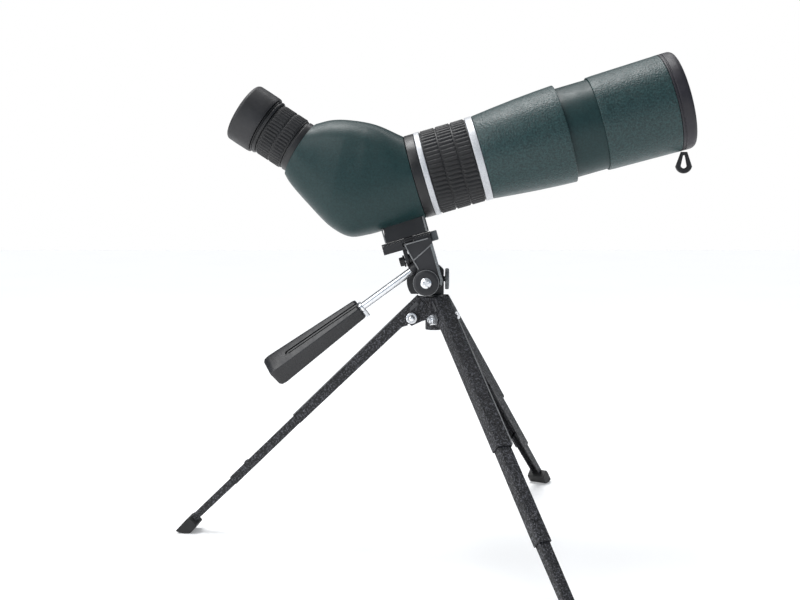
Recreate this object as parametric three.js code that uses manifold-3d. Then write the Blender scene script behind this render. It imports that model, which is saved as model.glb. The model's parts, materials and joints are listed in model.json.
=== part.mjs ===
// An angled spotting scope on a folding table-top tripod.
// Millimetres, +Z up, +X towards the objective, +Y to the scope's left-hand side.
// The origin lies on the ground, under the middle of the object's bounding box.

import * as THREE from 'three';
import { mergeVertices } from 'three/addons/utils/BufferGeometryUtils.js';
import Module from 'manifold-3d';

const wasm = await Module();
wasm.setup();

// ---------------------------------------------------------------- driving dimensions

const RAD = Math.PI / 180;
const GAP = 0.3;                 // air between two pieces that touch
const ROUND = 32;                // facets round a large ring
const ROUND_SMALL = 14;          // facets round a bolt or knob

// The head: where it stands on the tripod and how it is set.
const HEAD_YAW = -4 * RAD;       // the objective points a little to the right-hand side
const SCOPE_PITCH = 16 * RAD;    // the optical axis climbs towards the objective
const TILT_AXIS = { x: -5.1, z: 194.7 };      // in the panned frame
const TILT_IN_SCOPE = { x: -21.3, z: -76.5 }; // the same axis in the scope's frame

// The scope's body, in the scope's frame: x along the optical axis, from the rear trim ring.
const BODY_RADIUS = 31;
const TRIM_RADIUS = 31.3;
const X_HOUSING = -8.8;
const X_REAR_TRIM = -1.5;
const X_FOCUS = 2.7;
const X_FRONT_TRIM = 37.2;
const X_CONE = 42.4;
const X_CONE_END = 104.3;
const X_HOOD = 128.5;
const X_TUBE_END = 157.5;
const X_CAP = 180.8;
const X_CAP_FRONT = 191.2;
const CONE_END_RADIUS = 36;
const TUBE_RADIUS = 33;
const HOOD_RADIUS = { rear: 34.2, front: 35.5 };
const SPIGOT_RADIUS = 28.2;      // the fixed tube inside the focus ring
const WALL = 2.4;

// The prism housing's side outline: the top and bottom edges and how wide it is between them.
const HOUSING_TOP = [
  [X_HOUSING - 0.2, 30.8], [-26.6, 45.2], [-46.3, 54.5], [-57, 57.3], [-67.4, 57.8],
];
const HOUSING_BOTTOM = [
  [X_HOUSING - 0.2, -30.8], [-32, -31], [-54, -31], [-67, -28.8], [-77.9, -19], [-90.3, 3], [-99.4, 22.6],
  [-100.9, 28.7],
];
const HOUSING_HALF_WIDTH = [30.8, 30.6, 29.6, 27.5, 24, 21];
const HOUSING_SECTIONS = 11;
const HOUSING_POINTS = 24;

// The eyepiece, in its own frame: z out along its axis, from the housing's rear face.
const EYEPIECE_SEAT = { x: -84.9, z: 44.2 };
const EYEPIECE_LEAN = 41 * RAD;  // the axis leans back this far from the scope's own vertical
const ZOOM_RADIUS = 20.4;
const EYECUP_RADIUS = 22.7;

// The mounting foot and the tripod's platform, in the scope's frame.
const FOOT = { x0: -42.3, x1: -10.2, bottom: -41, halfWidth: 11 };
const PLATFORM = { x0: -45.5, x1: -9.3, top: -42.7, bottom: -49, halfWidth: 12 };
const CAMERA_SCREW = { x: -26, wheel: 12.4, stud: 3.05 };
const WHEEL_SLOT = { radius: 12.9, z0: -46.9, z1: -44.1 };

// The tilting head, in the scope's frame, and the boss it hangs on.
const FLIP_Z = -57.3;            // the side-flip axis runs along x at this height
const FLIP_ARM = { x0: -32.1, x1: -29.6, radius: 4.8 };
const FLIP_BARREL = { x0: -26.9, x1: -12.8, radius: 7.9 };
const NEAR_BLOCK = { y0: -15.3, y1: -0.7, top: -45.1, lobe: 9.2 };
const NEAR_BACK = [[-29.3, NEAR_BLOCK.top], [-26.2, -58.5], [-24.4, -65.5]];  // its rear edge, downwards
const FAR_CHEEK = { y0: 5.7, y1: 7.9, lobe: 8.6 };
const CHEEK_SHEET = 1.6;         // the near block's outer face, which rises beside the platform
const X_CHEEK = -9;              // the front edge of that face
const CORE_TOP = -54;
const BOSS = { radius: 15.1, y0: -0.4, y1: 5.4, bottom: 185.4, front: 7.3 };
const PAN_KNOB = { y: 2.5, z: 196.7, x0: 8.3, x1: 11.2, radius: 7.85 };

// The handle, in its own frame: z out along the rod.
const HANDLE_ROOT = { x: -30.8, y: -4, z: -65.9 };  // in the scope's frame
const HANDLE_DROP = 20.3 * RAD;  // below the optical axis
const ROD_RADIUS = 2.95;
const GRIP = { z0: 46.4, z1: 129.6 };

// The tripod's crown and legs. In a leg's frame x runs down the leg, z out of its web.
const PIVOT = { radius: 16, z: 168 };
const LEG_AZIMUTHS = [174.8, 294.4, 57.3].map((angle) => angle * RAD);
const LEG_NAMES = ['left', 'front', 'back'];
const LEG_SLOPE = 44.2 * RAD;    // below the horizontal when spread
const CROWN = { radius: 6.3, bottom: 159, top: 183.2 };
const BOLT_RADIUS = 2;
const UPPER = { x0: -14, x1: 116.6, half: 5.9, web: 9.5, low0: 0, low1: 1, sheet: 0.8 };
const MIDDLE = { x0: 102, x1: 186.6, half: 4.9, web: 8.5, low0: 1.3, low1: 1.3, sheet: 0.7 };
const LOWER = { x0: 172, x1: 230.7, half: 4, web: 7.6, low0: 1.5, low1: 2.2, sheet: 0.7 };
const EAR_RADIUS = 5;
const SHOE_HALF_WIDTH = 8;
const DIMPLE = { x: 170, radius: 2.3, height: 0.9 };

// ---------------------------------------------------------------- materials

function finish(color, roughness, metalness) {
  return () => new THREE.MeshStandardMaterial({ color, roughness, metalness });
}

const greenArmour = finish(0x2f4745, 0.5, 0);
const blackRubber = finish(0x1d1d1f, 0.75, 0);
const blackPlastic = finish(0x202022, 0.5, 0);
const trimSilver = finish(0xd6d8dc, 0.25, 0.9);
const chrome = finish(0xe8e8ea, 0.12, 1);
const powderCoat = finish(0x2b2b2d, 0.65, 0.3);
const headGrey = finish(0x8f9499, 0.5, 0.3);
const brass = finish(0xb08d3c, 0.35, 0.9);
const glass = finish(0xb8c8d8, 0.05, 0);

// ---------------------------------------------------------------- geometry helpers

function toSolid(geometry) {
  const bare = geometry.clone();
  bare.deleteAttribute('normal');
  bare.deleteAttribute('uv');
  const merged = mergeVertices(bare, 1e-4);
  return new wasm.Manifold(new wasm.Mesh({
    numProp: 3,
    vertProperties: new Float32Array(merged.attributes.position.array),
    triVerts: new Uint32Array(merged.index.array),
  }));
}

function toGeometry(solid) {
  const mesh = solid.getMesh();
  const geometry = new THREE.BufferGeometry();
  geometry.setAttribute('position', new THREE.BufferAttribute(new Float32Array(mesh.vertProperties), 3));
  geometry.setIndex(new THREE.BufferAttribute(new Uint32Array(mesh.triVerts), 1));
  geometry.computeVertexNormals();
  return geometry;
}

function join(...geometries) {
  return toGeometry(geometries.map(toSolid).reduce((sum, next) => sum.add(next)));
}

function cut(base, ...tools) {
  return toGeometry(tools.map(toSolid).reduce((rest, tool) => rest.subtract(tool), toSolid(base)));
}

// A ring turned about the z axis. The outline is a list of [z, radius] points, in either direction.
function turned(outline, facets = ROUND) {
  const onAxis = outline[0][1] === 0;
  const loop = onAxis ? outline : [...outline, outline[0]];
  let area = 0;
  loop.forEach(([z, r], i) => {
    const [nextZ, nextR] = loop[(i + 1) % loop.length];
    area += r * nextZ - nextR * z;
  });
  const ordered = area > 0 ? loop : [...loop].reverse();
  const geometry = new THREE.LatheGeometry(ordered.map(([z, r]) => new THREE.Vector2(r, z)), facets);
  return geometry.rotateX(Math.PI / 2);
}

function tube(z0, z1, inner, outer, facets = ROUND) {
  return turned([[z0, inner], [z0, outer], [z1, outer], [z1, inner]], facets);
}

function rod(z0, z1, radius, facets = ROUND_SMALL) {
  return turned([[z0, 0], [z0, radius], [z1, radius], [z1, 0]], facets);
}

// Turns a shape made about z so that it runs along x or along y instead.
function alongX(geometry) {
  return geometry.rotateY(Math.PI / 2);
}

function alongY(geometry) {
  return geometry.rotateX(-Math.PI / 2);
}

function box(x0, x1, y0, y1, z0, z1) {
  return new THREE.BoxGeometry(x1 - x0, y1 - y0, z1 - z0)
    .translate((x0 + x1) / 2, (y0 + y1) / 2, (z0 + z1) / 2);
}

// A flat plate whose outline is drawn in the xz plane and which is y0 to y1 thick.
function plateXZ(points, y0, y1) {
  const shape = new THREE.Shape(points.map(([x, z]) => new THREE.Vector2(x, z)));
  const geometry = new THREE.ExtrudeGeometry(shape, { depth: y1 - y0, bevelEnabled: false });
  return geometry.rotateX(Math.PI / 2).translate(0, y1, 0);
}

function arcPoints(cx, cz, radius, from, to, steps) {
  return Array.from({ length: steps + 1 }, (_, i) => {
    const angle = (from + ((to - from) * i) / steps) * RAD;
    return [cx + radius * Math.cos(angle), cz + radius * Math.sin(angle)];
  });
}

function signedVolume(positions, index) {
  const corner = (i) => new THREE.Vector3().fromArray(positions, 3 * i);
  let volume = 0;
  for (let i = 0; i < index.length; i += 3) {
    volume += corner(index[i]).dot(corner(index[i + 1]).cross(corner(index[i + 2])));
  }
  return volume;
}

// Skins a list of rings, all with the same number of points. The result is closed when the last
// ring meets the first, or when both ends are filled.
function skin(rings, { closed = false } = {}) {
  const count = rings[0].length;
  const positions = rings.flat(2);
  const index = [];
  const last = closed ? rings.length : rings.length - 1;
  for (let i = 0; i < last; i += 1) {
    const a = i * count;
    const b = ((i + 1) % rings.length) * count;
    for (let j = 0; j < count; j += 1) {
      const k = (j + 1) % count;
      index.push(a + j, b + j, b + k, a + j, b + k, a + k);
    }
  }
  if (!closed) {
    const end = (rings.length - 1) * count;
    for (let j = 1; j < count - 1; j += 1) {
      index.push(0, j, j + 1);
      index.push(end, end + j + 1, end + j);
    }
  }
  const outward = signedVolume(positions, index) > 0 ? index : index.reverse();
  const geometry = new THREE.BufferGeometry();
  geometry.setAttribute('position', new THREE.Float32BufferAttribute(positions, 3));
  geometry.setIndex(outward);
  return geometry;
}

// A lens with bulging or hollow faces: each bulge is how far the face's middle stands out.
function lens(z0, z1, radius, bulge0, bulge1) {
  const steps = 3;
  const low = Array.from({ length: steps + 1 }, (_, i) => {
    const part = i / steps;
    return [z0 - bulge0 * (1 - part * part), radius * part];
  });
  const high = Array.from({ length: steps + 1 }, (_, i) => {
    const part = 1 - i / steps;
    return [z1 + bulge1 * (1 - part * part), radius * part];
  });
  return turned([...low, ...high], 20);
}

function node(name, geometry, material) {
  const mesh = new THREE.Mesh(geometry, material());
  mesh.name = name;
  return mesh;
}

function group(...children) {
  const made = new THREE.Group();
  made.add(...children);
  return made;
}

// ---------------------------------------------------------------- scope body

function housingCurve(points) {
  return new THREE.CatmullRomCurve3(points.map(([x, z]) => new THREE.Vector3(x, 0, z)));
}

function halfWidthAt(part) {
  const place = part * (HOUSING_HALF_WIDTH.length - 1);
  const i = Math.min(Math.floor(place), HOUSING_HALF_WIDTH.length - 2);
  return THREE.MathUtils.lerp(HOUSING_HALF_WIDTH[i], HOUSING_HALF_WIDTH[i + 1], place - i);
}

// Squarish oval sections that fan round from the barrel's face to the eyepiece's seat.
function housingRings(offset) {
  const top = housingCurve(HOUSING_TOP);
  const bottom = housingCurve(HOUSING_BOTTOM);
  return Array.from({ length: HOUSING_SECTIONS }, (_, i) => {
    const part = i / (HOUSING_SECTIONS - 1);
    const high = top.getPointAt(part);
    const low = bottom.getPointAt(part);
    const centre = high.clone().add(low).multiplyScalar(0.5);
    const up = high.clone().sub(low).multiplyScalar(0.5);
    const tall = up.length() + offset;
    const wide = halfWidthAt(part) + offset;
    up.normalize();
    const squareness = 2 + 0.5 * Math.sin(Math.PI * part);
    return Array.from({ length: HOUSING_POINTS }, (_unused, j) => {
      const angle = (j / HOUSING_POINTS) * 2 * Math.PI;
      const c = Math.sign(Math.cos(angle)) * Math.abs(Math.cos(angle)) ** (2 / squareness);
      const s = Math.sign(Math.sin(angle)) * Math.abs(Math.sin(angle)) ** (2 / squareness);
      return [centre.x + up.x * tall * c, wide * s, centre.z + up.z * tall * c];
    });
  });
}

function prismHousing() {
  const outer = housingRings(0);
  const inner = housingRings(-WALL).reverse();
  return skin([...outer, ...inner], { closed: true });
}

function mainBarrel() {
  const bulge = 0.5;
  const middle = (X_CONE + X_CONE_END) / 2;
  const middleRadius = (BODY_RADIUS + CONE_END_RADIUS) / 2 + bulge;
  return alongX(turned([
    [X_HOUSING + GAP, SPIGOT_RADIUS - WALL], [X_HOUSING + GAP, SPIGOT_RADIUS],
    [X_CONE + GAP, SPIGOT_RADIUS], [X_CONE + GAP, BODY_RADIUS],
    [middle, middleRadius], [X_CONE_END, CONE_END_RADIUS],
    [X_CONE_END, TUBE_RADIUS + GAP], [X_CONE_END - 6, TUBE_RADIUS + GAP],
    [middle, middleRadius - WALL - 0.8], [X_CONE + 4, SPIGOT_RADIUS - WALL],
  ]));
}

function slidingHood() {
  const bore = TUBE_RADIUS + GAP;
  return alongX(turned([
    [X_HOOD, bore], [X_HOOD, HOOD_RADIUS.rear], [X_CAP - GAP, HOOD_RADIUS.front], [X_CAP - GAP, bore],
  ]));
}

// The push-on cap: a rim as wide as the hood and a hollow plug that fits its bore.
function objectiveCap() {
  const rim = HOOD_RADIUS.front;
  const plug = TUBE_RADIUS;
  const bore = plug - 1.6;
  const plugEnd = X_CAP - 5;
  const insideFace = X_CAP_FRONT - 3;
  return alongX(turned([
    [X_CAP_FRONT, 0], [X_CAP_FRONT, rim - 3], [X_CAP_FRONT - 0.7, rim - 1.1], [X_CAP_FRONT - 2.2, rim],
    [X_CAP, rim], [X_CAP, plug], [plugEnd, plug], [plugEnd, bore], [insideFace, bore], [insideFace, 0],
  ]));
}

// A soft moulded pull loop that hangs from the cap's rim, its slot just wide enough for a cord.
function capLoop() {
  const drop = -9.6;
  const halfThick = 1.4;
  const outline = [[-2.2, 0], ...arcPoints(0, drop, 6, -170, -10, 8), [2.2, 0]];
  const slot = [[-0.7, -2.6], ...arcPoints(0, drop, 3.9, -170, -10, 8), [0.7, -2.6]];
  return cut(plateXZ(outline, -halfThick, halfThick), plateXZ(slot, -2, 2));
}

function bodyOptics() {
  return [
    node('focus_carriage', alongX(tube(12, 52, 21.6, SPIGOT_RADIUS - WALL - GAP)), blackPlastic),
    node('focus_lens', alongX(lens(30, 33, 21.2, -1.2, 1)), glass),
    node('objective_cell', alongX(turned([
      [140, 27], [140, TUBE_RADIUS - WALL], [156, TUBE_RADIUS - WALL], [156, 30], [142, 30], [142, 27],
    ])), blackPlastic),
    node('objective_doublet', alongX(lens(143.5, 150, 29.6, -1, 2.4)), glass),
  ];
}

function prismPieces() {
  const prism = [[-28, -14], [-28, 14], [-36, 22], [-57, 32], [-74, 12], [-57, -14]];
  const wall = cut(alongX(rod(-22.5, -20, 25)), alongX(rod(-30, -10, 13)));
  const shelf = box(-58, -21, -12, 12, -18, -14.5);
  return [
    node('prism_bracket', join(wall, shelf), blackPlastic),
    node('erecting_prism', plateXZ(prism, -13, 13), glass),
  ];
}

// The narrow rings on both sides of the focus ring, all slipped over the fixed tube.
function trimRings() {
  const ring = (x0, x1, radius) => alongX(tube(x0, x1, SPIGOT_RADIUS + GAP, radius));
  return [
    node('rear_body_ring', ring(X_HOUSING + GAP, X_REAR_TRIM, BODY_RADIUS), blackPlastic),
    node('rear_trim_ring', ring(X_REAR_TRIM + GAP, X_FOCUS, TRIM_RADIUS), trimSilver),
    node('front_trim_ring', ring(X_FRONT_TRIM, X_CONE, TRIM_RADIUS), trimSilver),
  ];
}

function focusRing() {
  return alongX(tube(X_FOCUS + GAP, X_FRONT_TRIM - GAP, SPIGOT_RADIUS + GAP, BODY_RADIUS));
}

function frontTube() {
  return alongX(tube(X_CONE_END - 5.5, X_TUBE_END, TUBE_RADIUS - WALL + GAP, TUBE_RADIUS));
}

// ---------------------------------------------------------------- eyepiece

function eyepiece() {
  const barrelRadius = 15.8;
  const bore = barrelRadius + GAP;
  const collar = turned([
    [-4.5, bore], [-4.5, 18.2], [-0.9, 18.2], [-0.9, 19.9], [4.7, 19.9], [4.7, bore],
  ]);
  const sleeve = turned([
    [26.7, bore], [26.7, 21.2], [30.3, 21.2], [30.3, 18.2], [42, 18.2], [42, bore],
  ]);
  const cup = turned([
    [30.7, 18.5], [30.7, EYECUP_RADIUS - 0.2], [40, EYECUP_RADIUS], [48.2, EYECUP_RADIUS - 0.1],
    [49.8, 21.9], [50.4, 20.2], [50, 17.5], [46, 15], [43.2, 15], [43.2, 18.5],
  ]);
  const made = group(
    node('eyepiece_collar', collar, blackPlastic),
    node('eyepiece_barrel', tube(-10, 39, 13.9, barrelRadius, 32), blackPlastic),
    node('field_lens', lens(-7, -4, 13.6, 1, 0.6), glass),
    node('eye_lens', lens(33, 36, 13.6, 0.8, 1.2), glass),
    node('zoom_ring', tube(5, 26.4, bore, ZOOM_RADIUS), blackRubber),
    node('eyecup_sleeve', sleeve, blackPlastic),
    node('eyecup', cup, blackRubber),
  );
  made.position.set(EYEPIECE_SEAT.x, 0, EYEPIECE_SEAT.z);
  made.rotation.y = -EYEPIECE_LEAN;
  return made;
}

// ---------------------------------------------------------------- foot and platform

function mountingFoot() {
  const block = box(FOOT.x0, FOOT.x1, -FOOT.halfWidth, FOOT.halfWidth, FOOT.bottom, -24);
  const clearance = skin(housingRings(GAP));
  const insertHole = rod(FOOT.bottom - 1, -32.5, 4.8).translate(CAMERA_SCREW.x, 0, 0);
  return cut(block, clearance, insertHole);
}

function atFlip(geometry) {
  return geometry.translate(0, 0, FLIP_Z);
}

// The slotted deck, and the arm under it that turns on the flip bolt.
function platform() {
  const { x0, x1, top, bottom, halfWidth } = PLATFORM;
  const arm = join(
    box(FLIP_ARM.x0, FLIP_ARM.x1, -FLIP_ARM.radius, FLIP_ARM.radius, FLIP_Z, bottom + 1),
    atFlip(alongX(rod(FLIP_ARM.x0, FLIP_ARM.x1, FLIP_ARM.radius))),
  );
  return cut(
    join(box(x0, x1, -halfWidth, halfWidth, bottom, top), arm),
    rod(WHEEL_SLOT.z0, WHEEL_SLOT.z1, WHEEL_SLOT.radius, 36).translate(CAMERA_SCREW.x, 0, 0),
    rod(WHEEL_SLOT.z0, top + 1, CAMERA_SCREW.stud + 0.55).translate(CAMERA_SCREW.x, 0, 0),
    atFlip(alongX(rod(FLIP_ARM.x0 - 1, FLIP_ARM.x1 + 1, BOLT_RADIUS + GAP))),
  );
}

function platformPad() {
  const { x0, x1, top, halfWidth } = PLATFORM;
  const pad = box(x0, x1, -halfWidth, halfWidth, top + 0.2, FOOT.bottom - 0.2);
  return cut(pad, rod(top - 1, FOOT.bottom + 1, 5).translate(CAMERA_SCREW.x, 0, 0));
}

function cameraScrew() {
  const wheel = rod(WHEEL_SLOT.z0 + GAP, WHEEL_SLOT.z1 - GAP, CAMERA_SCREW.wheel, 36);
  const stud = rod(WHEEL_SLOT.z1 - 1, -34.5, CAMERA_SCREW.stud);
  return join(wheel, stud).translate(CAMERA_SCREW.x, 0, 0);
}

function flipClamp() {
  const bolt = join(alongX(rod(-36.2, -11.8, BOLT_RADIUS)), alongX(rod(-12.4, -10.6, 3.6, 6)));
  return [
    node('flip_bolt', atFlip(bolt), chrome),
    node('flip_washer', atFlip(alongX(tube(-29.3, -27.2, 2.3, 4.4, 20))), blackPlastic),
    node('flip_clamp_knob', atFlip(alongX(turned([
      [-36.8, 2.3], [-36.8, 3.4], [-33.9, 3.4], [-33.9, 4.5], [-32.8, 4.5], [-32.8, 2.3],
    ], 24))), blackPlastic),
  ];
}

// ---------------------------------------------------------------- tilting head

function aboutTilt(geometry) {
  return geometry.translate(TILT_IN_SCOPE.x, 0, TILT_IN_SCOPE.z);
}

// Turns a shape made about z into the handle's direction and moves it to the handle's root.
function alongHandle(geometry) {
  return geometry.rotateY(-(Math.PI / 2 + HANDLE_DROP))
    .translate(HANDLE_ROOT.x, HANDLE_ROOT.y, HANDLE_ROOT.z);
}

// The near block's outer face rises beside the platform and ends in a chin past the tilt axis.
function nearCheek() {
  const { x, z } = TILT_IN_SCOPE;
  const { y0, top, lobe } = NEAR_BLOCK;
  const chin = [[-15.3, -83.6], [-10.8, -81.4], [X_CHEEK, -78]];
  return plateXZ([
    ...NEAR_BACK, ...arcPoints(x, z, lobe, 155, 280, 8), ...chin, [X_CHEEK, top],
  ], y0, y0 + CHEEK_SHEET);
}

function nearCore() {
  const { x, z } = TILT_IN_SCOPE;
  const { y0, y1, lobe } = NEAR_BLOCK;
  return plateXZ([
    [FLIP_BARREL.x0, CORE_TOP], NEAR_BACK.at(-1), ...arcPoints(x, z, lobe, 155, 325, 9),
    [FLIP_BARREL.x1, -78], [FLIP_BARREL.x1, CORE_TOP],
  ], y0 + CHEEK_SHEET - 0.1, y1);
}

function farCheek() {
  const { x, z } = TILT_IN_SCOPE;
  return plateXZ([
    [-25, FLIP_Z], ...arcPoints(x, z, FAR_CHEEK.lobe, 160, 380, 9), [FLIP_BARREL.x1, FLIP_Z],
  ], FAR_CHEEK.y0, FAR_CHEEK.y1);
}

// One casting: two cheeks astride the boss, the flip barrel across their top and the handle's socket.
function tiltHead() {
  const { x0, x1, radius } = FLIP_BARREL;
  const barrel = atFlip(alongX(rod(x0, x1, radius, 28)));
  const socket = alongHandle(rod(-8, -1.5, 3.9));
  return cut(
    join(nearCheek(), nearCore(), farCheek(), barrel, socket),
    aboutTilt(alongY(rod(NEAR_BLOCK.y1, FAR_CHEEK.y0, BOSS.radius + GAP, 36))),
    aboutTilt(alongY(rod(-20, 20, BOLT_RADIUS + GAP))),
    atFlip(alongX(rod(-40, 0, BOLT_RADIUS + GAP))),
    alongHandle(rod(-5.4, 2, ROD_RADIUS + 0.15)),
  );
}

// A pale strap laid against the cheek along its front edge.
function headStrap() {
  const width = 1.9;
  const outline = [
    [X_CHEEK - width, -50.2], [X_CHEEK, -50.2], [X_CHEEK, -78], [X_CHEEK - 1.8, -81.4],
    [X_CHEEK - 3.2, -80], [X_CHEEK - width, -77.4],
  ];
  return plateXZ(outline, NEAR_BLOCK.y0 - 1.6, NEAR_BLOCK.y0 - 0.2);
}

function tiltPieces() {
  const back = NEAR_BLOCK.y0 - GAP;
  const face = back - 2.6;
  const seat = face - 0.2;
  const bore = BOLT_RADIUS + 0.4;
  const disc = turned([[face, bore], [face, 8.6], [face + 0.6, 9.4], [back, 9.4], [back, bore]], 36);
  const screw = turned([
    [seat - 2, 0], [seat - 2, 2.6], [seat - 1, 3.9], [seat, 3.9], [seat, BOLT_RADIUS],
    [11.6, BOLT_RADIUS], [11.6, 0],
  ], 24);
  return [
    node('tilt_head', tiltHead(), blackPlastic),
    node('head_side_strap', headStrap(), headGrey),
    node('tilt_disc', aboutTilt(alongY(disc)), blackPlastic),
    node('tilt_screw', aboutTilt(alongY(screw)), chrome),
  ];
}

// ---------------------------------------------------------------- handle

// The grip is a long six-sided taper, widest just before its rounded end.
function gripRings() {
  const section = (z, height, width) => [
    [-height / 2, -2.6], [-height / 2, 2.6], [0, width / 2],
    [height / 2, 2.2], [height / 2, -2.2], [0, -width / 2],
  ].map(([x, y]) => [x, y, z]);
  return [
    section(GRIP.z0, 14.2, 12.6),
    section(GRIP.z0 + 1.5, 15.4, 13.8),
    section(GRIP.z1 - 4, 24.3, 20.5),
    section(GRIP.z1, 19, 16),
  ];
}

function handle() {
  const grip = cut(skin(gripRings()), rod(GRIP.z0 - 1, GRIP.z0 + 24, ROD_RADIUS + GAP));
  const ferrule = tube(GRIP.z0 - 2.6, GRIP.z0 - GAP, ROD_RADIUS + 0.2, 4.3, 24);
  const made = group(
    node('handle_rod', rod(-5, GRIP.z0 + 22, ROD_RADIUS), chrome),
    node('handle_ferrule', ferrule, chrome),
    node('handle_grip', grip, blackPlastic),
  );
  made.position.set(HANDLE_ROOT.x, HANDLE_ROOT.y, HANDLE_ROOT.z);
  made.rotation.y = -(Math.PI / 2 + HANDLE_DROP);
  return made;
}

// ---------------------------------------------------------------- panning base

function panBase() {
  const boss = alongY(rod(BOSS.y0, BOSS.y1, BOSS.radius, 40)).translate(TILT_AXIS.x, 0, TILT_AXIS.z);
  const trimmed = cut(
    boss,
    box(-40, 40, -20, 20, 160, BOSS.bottom),
    box(BOSS.front, 40, -20, 20, 160, 230),
  );
  const turntable = rod(CROWN.top + GAP, BOSS.bottom - GAP, CROWN.radius - 0.1, 28);
  const post = box(-5.4, 5.4, BOSS.y0, 2.8, CROWN.top + 1, BOSS.bottom + 1);
  return cut(
    join(trimmed, turntable, post),
    alongY(rod(-20, 20, BOLT_RADIUS + GAP)).translate(TILT_AXIS.x, 0, TILT_AXIS.z),
    alongX(rod(2, 20, BOLT_RADIUS + GAP)).translate(0, PAN_KNOB.y, PAN_KNOB.z),
  );
}

function panLockKnob() {
  const { x0, x1, radius, y, z } = PAN_KNOB;
  const chamfer = 0.5;
  const disc = turned([
    [x0, 0], [x0, radius - chamfer], [x0 + chamfer, radius], [x1 - chamfer, radius], [x1, radius - chamfer],
    [x1, 0],
  ], 36);
  return join(alongX(disc), alongX(rod(3, x0 + 0.7, BOLT_RADIUS))).translate(0, y, z);
}

// ---------------------------------------------------------------- crown and legs

function legFrame(azimuth, ...children) {
  const hinge = group(...children);
  hinge.position.set(PIVOT.radius, 0, PIVOT.z);
  hinge.rotation.y = LEG_SLOPE;
  const arm = group(hinge);
  arm.rotation.z = azimuth;
  return arm;
}

function crownLug(azimuth) {
  const halfThick = UPPER.half - UPPER.sheet - GAP;
  const top = UPPER.web - UPPER.sheet - GAP;
  const lug = plateXZ([
    [-21, 0], [-14.2, top], [-2, top], [2.4, 6.6], [4.6, 2.5], [4.6, -4.2], [-3, -6.8], [-16, -13],
  ], -halfThick, halfThick);
  const hole = alongY(rod(-10, 10, BOLT_RADIUS + GAP));
  return cut(lug, hole).rotateY(LEG_SLOPE).translate(PIVOT.radius, 0, PIVOT.z).rotateZ(azimuth);
}

function crown() {
  const column = rod(CROWN.bottom, CROWN.top, CROWN.radius, 24);
  const above = box(-30, 30, -30, 30, CROWN.top, 260);
  const below = box(-30, 30, -30, 30, 100, CROWN.bottom);
  return cut(join(column, ...LEG_AZIMUTHS.map(crownLug)), above, below);
}

// A channel of bent sheet, open towards -z, whose sides may grow shallower down the leg.
function channel({ x0, x1, half, web, low0, low1, sheet }, endHalf = half) {
  const section = (x, halfWidth, low, high) => [
    [x, -halfWidth, low], [x, halfWidth, low], [x, halfWidth, high], [x, -halfWidth, high],
  ];
  const outer = skin([section(x0, half, low0, web), section(x1, endHalf, low1, web)]);
  const inner = skin([
    section(x0 - 1, half - sheet, low0 - 12, web - sheet),
    section(x1 + 1, endHalf - sheet, low1 - 12, web - sheet),
  ]);
  return { outer, inner };
}

function upperLeg() {
  const { outer, inner } = channel(UPPER);
  const { half } = UPPER;
  const ears = join(
    alongY(rod(-half, half, EAR_RADIUS)),
    box(-EAR_RADIUS, 12, -half, half, 0, EAR_RADIUS),
  );
  return cut(join(outer, ears), inner, alongY(rod(-10, 10, BOLT_RADIUS + 0.15)));
}

function middleLeg() {
  const { outer, inner } = channel(MIDDLE);
  const dimple = turned([
    [MIDDLE.web - 0.4, 0], [MIDDLE.web - 0.4, DIMPLE.radius], [MIDDLE.web + 0.2, DIMPLE.radius],
    [MIDDLE.web + DIMPLE.height, DIMPLE.radius * 0.6], [MIDDLE.web + DIMPLE.height, 0],
  ], 16).translate(DIMPLE.x, 0, 0);
  return join(cut(outer, inner), dimple);
}

function lowerLeg() {
  const { outer, inner } = channel(LOWER, LOWER.half - 0.3);
  return cut(outer, inner);
}

// The rubber shoe is drawn in the plane of the leg, in the tripod's own frame, and it stands on z = 0.
function shoe() {
  const side = [[198.3, 1.6], [193.8, 0], [186.5, 0], [181, 6.4], [187.2, 12.3], [189.5, 11]];
  return plateXZ(side, -SHOE_HALF_WIDTH, SHOE_HALF_WIDTH)
    .translate(-PIVOT.radius, 0, -PIVOT.z)
    .rotateY(-LEG_SLOPE);
}

function legBolt() {
  const side = UPPER.half;
  return alongY(turned([
    [-side - 6.6, 0], [-side - 6.6, BOLT_RADIUS], [side + 0.3, BOLT_RADIUS], [side + 0.3, 4.1],
    [side + 3, 4.1], [side + 5.4, 2.5], [side + 5.4, 0],
  ], 14));
}

function legNut() {
  const side = UPPER.half;
  return alongY(cut(rod(-side - 4.8, -side - 0.4, 4.1, 6), rod(-side - 6, -side, BOLT_RADIUS + 0.2)));
}

function leg(name, azimuth) {
  return legFrame(
    azimuth,
    node(`${name}_leg_upper`, upperLeg(), powderCoat),
    node(`${name}_leg_middle`, middleLeg(), powderCoat),
    node(`${name}_leg_lower`, lowerLeg(), powderCoat),
    node(`${name}_leg_shoe`, shoe(), blackRubber),
    node(`${name}_leg_bolt`, legBolt(), chrome),
    node(`${name}_leg_nut`, legNut(), chrome),
  );
}

// ---------------------------------------------------------------- the whole object

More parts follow.
